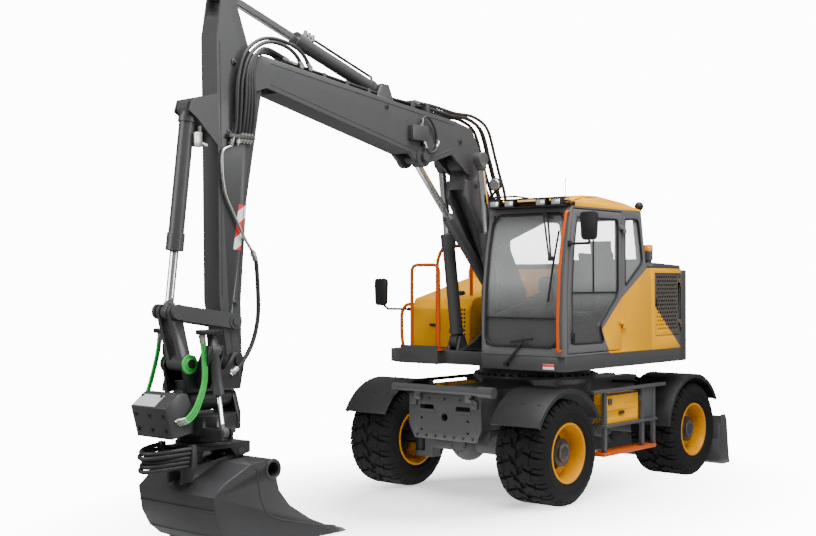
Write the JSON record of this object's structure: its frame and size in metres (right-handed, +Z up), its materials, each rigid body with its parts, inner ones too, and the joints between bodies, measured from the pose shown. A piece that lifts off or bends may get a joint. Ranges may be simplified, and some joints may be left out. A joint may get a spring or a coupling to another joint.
{
  "type": "wheeled excavator",
  "caption": "Short-tail wheeled excavator with two-piece boom, stick, tilting rotator and bucket, a slewing cab and a rear dozer blade.",
  "frame": {"origin": "on the ground under the slewing axis", "axes": "+X forward, +Y to the machine's left, +Z up"},
  "size_m": [7.476, 2.865, 4.712],
  "materials": {
    "dark_paint": "satin dark grey paint",
    "yellow_paint": "gloss yellow paint",
    "orange_paint": "gloss orange paint",
    "grey_paint": "satin grey paint",
    "chromed_rod": "polished hard chrome",
    "tyre_rubber": "matt black rubber",
    "clear_glass": "clear tinted glass",
    "black_plastic": "matt black",
    "black_paint": "satin black paint",
    "seat_fabric": "woven grey cloth"
  },
  "bodies": {
    "chassis": {"chassis": "dark_paint", "front_axle": "grey_paint", "rear_axle": "grey_paint", "rear_guards": "black_plastic", "side_steps": "grey_paint", "tool_boxes": "yellow_paint", "low_steps": "orange_paint", "front_bar": "black_plastic"},
    "knuckle_l": {"knuckle_l": "black_plastic"},
    "knuckle_r": {"knuckle_r": "black_plastic"},
    "steering_rod": {"steering_rod": "chromed_rod"},
    "wheel_fl": {"tyre_fl": "tyre_rubber", "rim_fl": "orange_paint"},
    "wheel_fr": {"tyre_fr": "tyre_rubber", "rim_fr": "orange_paint"},
    "wheel_rl": {"tyre_rl": "tyre_rubber", "rim_rl": "orange_paint"},
    "wheel_rr": {"tyre_rr": "tyre_rubber", "rim_rr": "orange_paint"},
    "blade": {"blade": "dark_paint"},
    "blade_barrels": {"blade_barrels": "dark_paint"},
    "blade_rods": {"blade_rods": "chromed_rod"},
    "upper": {"deck": "dark_paint", "cab_shell": "dark_paint", "cab_roof": "yellow_paint", "cab_glass": "clear_glass", "cab_lamps": "black_plastic", "seat": "seat_fabric", "counterweight": "dark_paint", "engine_house": "dark_paint", "engine": "grey_paint", "side_cover": "yellow_paint", "handrails": "orange_paint", "mirrors": "black_plastic"},
    "door": {"door": "dark_paint", "door_glass": "clear_glass"},
    "hood": {"hood": "yellow_paint"},
    "service_door": {"service_door": "dark_paint"},
    "base_boom": {"base_boom": "dark_paint"},
    "lift_barrels": {"lift_barrels": "dark_paint"},
    "lift_rods": {"lift_rods": "chromed_rod"},
    "upper_boom": {"upper_boom": "dark_paint"},
    "adjust_barrel": {"adjust_barrel": "dark_paint"},
    "adjust_rod": {"adjust_rod": "chromed_rod"},
    "stick": {"stick": "dark_paint"},
    "arm_barrel": {"arm_barrel": "dark_paint"},
    "arm_rod": {"arm_rod": "chromed_rod"},
    "bucket_barrel": {"bucket_barrel": "dark_paint"},
    "bucket_rod": {"bucket_rod": "chromed_rod"},
    "rockers": {"rockers": "dark_paint"},
    "hitch_link": {"hitch_link": "dark_paint"},
    "tilt_frame": {"tilt_frame": "black_paint"},
    "tilt_barrel_l": {"tilt_barrel_l": "black_paint"},
    "tilt_barrel_r": {"tilt_barrel_r": "black_paint"},
    "tilt_rod_l": {"tilt_rod_l": "chromed_rod"},
    "tilt_rod_r": {"tilt_rod_r": "chromed_rod"},
    "rotor": {"rotor": "black_paint"},
    "tool": {"coupler": "black_paint", "bucket": "black_paint"}
  },
  "joints": [
    {"name": "steer_left", "type": "hinge", "parent": "chassis", "child": "knuckle_l", "pos_m": [1.2, 0.64, 0.525], "axis": [0, 0, 1], "range_deg": [-25, 25]},
    {"name": "steer_right", "type": "hinge", "parent": "chassis", "child": "knuckle_r", "pos_m": [1.2, -0.64, 0.525], "axis": [0, 0, 1], "range_deg": [-25.5, 25.5]},
    {"name": "steering_rod_slide", "type": "slide", "parent": "chassis", "child": "steering_rod", "axis": [0, 1, 0], "range_m": [-0.068, 0.068]},
    {"name": "wheel_fl_spin", "type": "hinge", "parent": "knuckle_l", "child": "wheel_fl", "pos_m": [1.2, 0.965, 0.525], "axis": [0, 1, 0], "continuous": true},
    {"name": "wheel_fr_spin", "type": "hinge", "parent": "knuckle_r", "child": "wheel_fr", "pos_m": [1.2, -0.965, 0.525], "axis": [0, 1, 0], "continuous": true},
    {"name": "wheel_rl_spin", "type": "hinge", "parent": "chassis", "child": "wheel_rl", "pos_m": [-1.38, 0.965, 0.525], "axis": [0, 1, 0], "continuous": true},
    {"name": "wheel_rr_spin", "type": "hinge", "parent": "chassis", "child": "wheel_rr", "pos_m": [-1.38, -0.965, 0.525], "axis": [0, 1, 0], "continuous": true},
    {"name": "blade_lift", "type": "hinge", "parent": "chassis", "child": "blade", "pos_m": [-1.635, 0, 0.66], "axis": [0, 1, 0], "range_deg": [-12, 25]},
    {"name": "blade_barrel_swing", "type": "hinge", "parent": "chassis", "child": "blade_barrels", "pos_m": [-1.51, 0, 1], "axis": [0, 1, 0], "range_deg": [-6.57, 13.15]},
    {"name": "blade_rod_slide", "type": "slide", "parent": "blade_barrels", "child": "blade_rods", "axis": [-0.5375, 0, -0.8433], "range_m": [-0.0465, 0.0234]},
    {"name": "slew", "type": "hinge", "parent": "chassis", "child": "upper", "pos_m": [0, 0, 1.318], "axis": [0, 0, 1], "continuous": true},
    {"name": "door_swing", "type": "hinge", "parent": "upper", "child": "door", "pos_m": [0.215, 1.269, 2.2], "axis": [0, 0, 1], "range_deg": [0, 160]},
    {"name": "hood_lift", "type": "hinge", "parent": "upper", "child": "hood", "pos_m": [-1.058, 0, 2.3453], "axis": [0, -1, 0], "range_deg": [0, 55]},
    {"name": "service_door_swing", "type": "hinge", "parent": "upper", "child": "service_door", "pos_m": [-1.028, 1.257, 1.95], "axis": [0, 0, 1], "range_deg": [0, 100]},
    {"name": "boom_lift", "type": "hinge", "parent": "upper", "child": "base_boom", "pos_m": [0.28, -0.09, 1.75], "axis": [0, -1, 0], "range_deg": [-52, 25]},
    {"name": "lift_barrel_swing", "type": "hinge", "parent": "upper", "child": "lift_barrels", "pos_m": [0.95, -0.09, 1.565], "axis": [0, -1, 0], "range_deg": [-54.53, 26.47]},
    {"name": "lift_rod_slide", "type": "slide", "parent": "lift_barrels", "child": "lift_rods", "axis": [0.1421, 0, 0.9899], "range_m": [-0.5762, 0.2781]},
    {"name": "boom_adjust", "type": "hinge", "parent": "base_boom", "child": "upper_boom", "pos_m": [1.222, -0.09, 3.46], "axis": [0, -1, 0], "range_deg": [-55, 18]},
    {"name": "adjust_barrel_swing", "type": "hinge", "parent": "base_boom", "child": "adjust_barrel", "pos_m": [0.64, -0.09, 2.05], "axis": [0, -1, 0], "range_deg": [-11.72, 4.17]},
    {"name": "adjust_rod_slide", "type": "slide", "parent": "adjust_barrel", "child": "adjust_rod", "axis": [0.6967, 0, 0.7174], "range_m": [-0.634, 0.2088]},
    {"name": "stick_swing", "type": "hinge", "parent": "upper_boom", "child": "stick", "pos_m": [4.29, -0.09, 3.93], "axis": [0, 1, 0], "range_deg": [-62, 25]},
    {"name": "arm_barrel_swing", "type": "hinge", "parent": "upper_boom", "child": "arm_barrel", "pos_m": [2.54, -0.09, 4.035], "axis": [0, 1, 0], "range_deg": [-7.88, 3.47]},
    {"name": "arm_rod_slide", "type": "slide", "parent": "arm_barrel", "child": "arm_rod", "axis": [0.9555, 0, 0.2949], "range_m": [-0.7305, 0.2958]},
    {"name": "bucket_curl", "type": "hinge", "parent": "stick", "child": "tilt_frame", "pos_m": [4.427, -0.09, 1.54], "axis": [0, -1, 0], "range_deg": [-80, 50]},
    {"name": "curl_barrel_swing", "type": "hinge", "parent": "stick", "child": "bucket_barrel", "pos_m": [4.852, -0.09, 3.623], "axis": [0, -1, 0], "range_deg": [-3.14, 2.15]},
    {"name": "curl_rod_slide", "type": "slide", "parent": "bucket_barrel", "child": "bucket_rod", "axis": [0.1179, 0, -0.993], "range_m": [-0.4044, 0.6459]},
    {"name": "rocker_swing", "type": "hinge", "parent": "stick", "child": "rockers", "pos_m": [4.45, -0.09, 1.868], "axis": [0, -1, 0], "range_deg": [-68, 43]},
    {"name": "hitch_link_swing", "type": "hinge", "parent": "tilt_frame", "child": "hitch_link", "pos_m": [4.935, -0.09, 1.535], "axis": [0, -1, 0], "range_deg": [-38, 60]},
    {"name": "tool_tilt", "type": "hinge", "parent": "tilt_frame", "child": "rotor", "pos_m": [4.681, -0.09, 1.23], "axis": [1, 0, 0], "range_deg": [-40, 40]},
    {"name": "tilt_barrel_l_swing", "type": "hinge", "parent": "tilt_frame", "child": "tilt_barrel_l", "pos_m": [4.8, 0.17, 1.64], "axis": [1, 0, 0], "range_deg": [-18.93, 18.93]},
    {"name": "tilt_rod_l_slide", "type": "slide", "parent": "tilt_barrel_l", "child": "tilt_rod_l", "axis": [0, 0.1802, -0.9836], "range_m": [-0.2292, 0.2292]},
    {"name": "tilt_barrel_r_swing", "type": "hinge", "parent": "tilt_frame", "child": "tilt_barrel_r", "pos_m": [4.8, -0.35, 1.64], "axis": [1, 0, 0], "range_deg": [-18.93, 18.93]},
    {"name": "tilt_rod_r_slide", "type": "slide", "parent": "tilt_barrel_r", "child": "tilt_rod_r", "axis": [0, -0.1802, -0.9836], "range_m": [-0.2292, 0.2292]},
    {"name": "tool_turn", "type": "hinge", "parent": "rotor", "child": "tool", "pos_m": [4.681, -0.09, 0.9], "axis": [0, 0, 1], "continuous": true}
  ],
  "couplings": [
    {"joint": "steer_right", "follows": "steer_left", "ratio": 1},
    {"joint": "steering_rod_slide", "follows": "steer_left", "m_per_rad": -0.15},
    {"joint": "blade_barrel_swing", "follows": "blade_lift", "ratio": 0.50616},
    {"joint": "blade_rod_slide", "follows": "blade_lift", "m_per_rad": -0.10204},
    {"joint": "lift_barrel_swing", "follows": "boom_lift", "ratio": 1.039},
    {"joint": "lift_rod_slide", "follows": "boom_lift", "m_per_rad": 0.63266},
    {"joint": "adjust_barrel_swing", "follows": "boom_adjust", "ratio": 0.204},
    {"joint": "adjust_rod_slide", "follows": "boom_adjust", "m_per_rad": 0.65833},
    {"joint": "arm_barrel_swing", "follows": "stick_swing", "ratio": 0.119},
    {"joint": "arm_rod_slide", "follows": "stick_swing", "m_per_rad": 0.67322},
    {"joint": "curl_barrel_swing", "follows": "bucket_curl", "ratio": 0.033},
    {"joint": "curl_rod_slide", "follows": "bucket_curl", "m_per_rad": -0.46117},
    {"joint": "rocker_swing", "follows": "bucket_curl", "ratio": 0.84},
    {"joint": "hitch_link_swing", "follows": "bucket_curl", "ratio": -0.742},
    {"joint": "tilt_barrel_l_swing", "follows": "tool_tilt", "ratio": 0.46066},
    {"joint": "tilt_rod_l_slide", "follows": "tool_tilt", "m_per_rad": -0.32543},
    {"joint": "tilt_barrel_r_swing", "follows": "tool_tilt", "ratio": 0.46066},
    {"joint": "tilt_rod_r_slide", "follows": "tool_tilt", "m_per_rad": 0.32543}
  ]
}
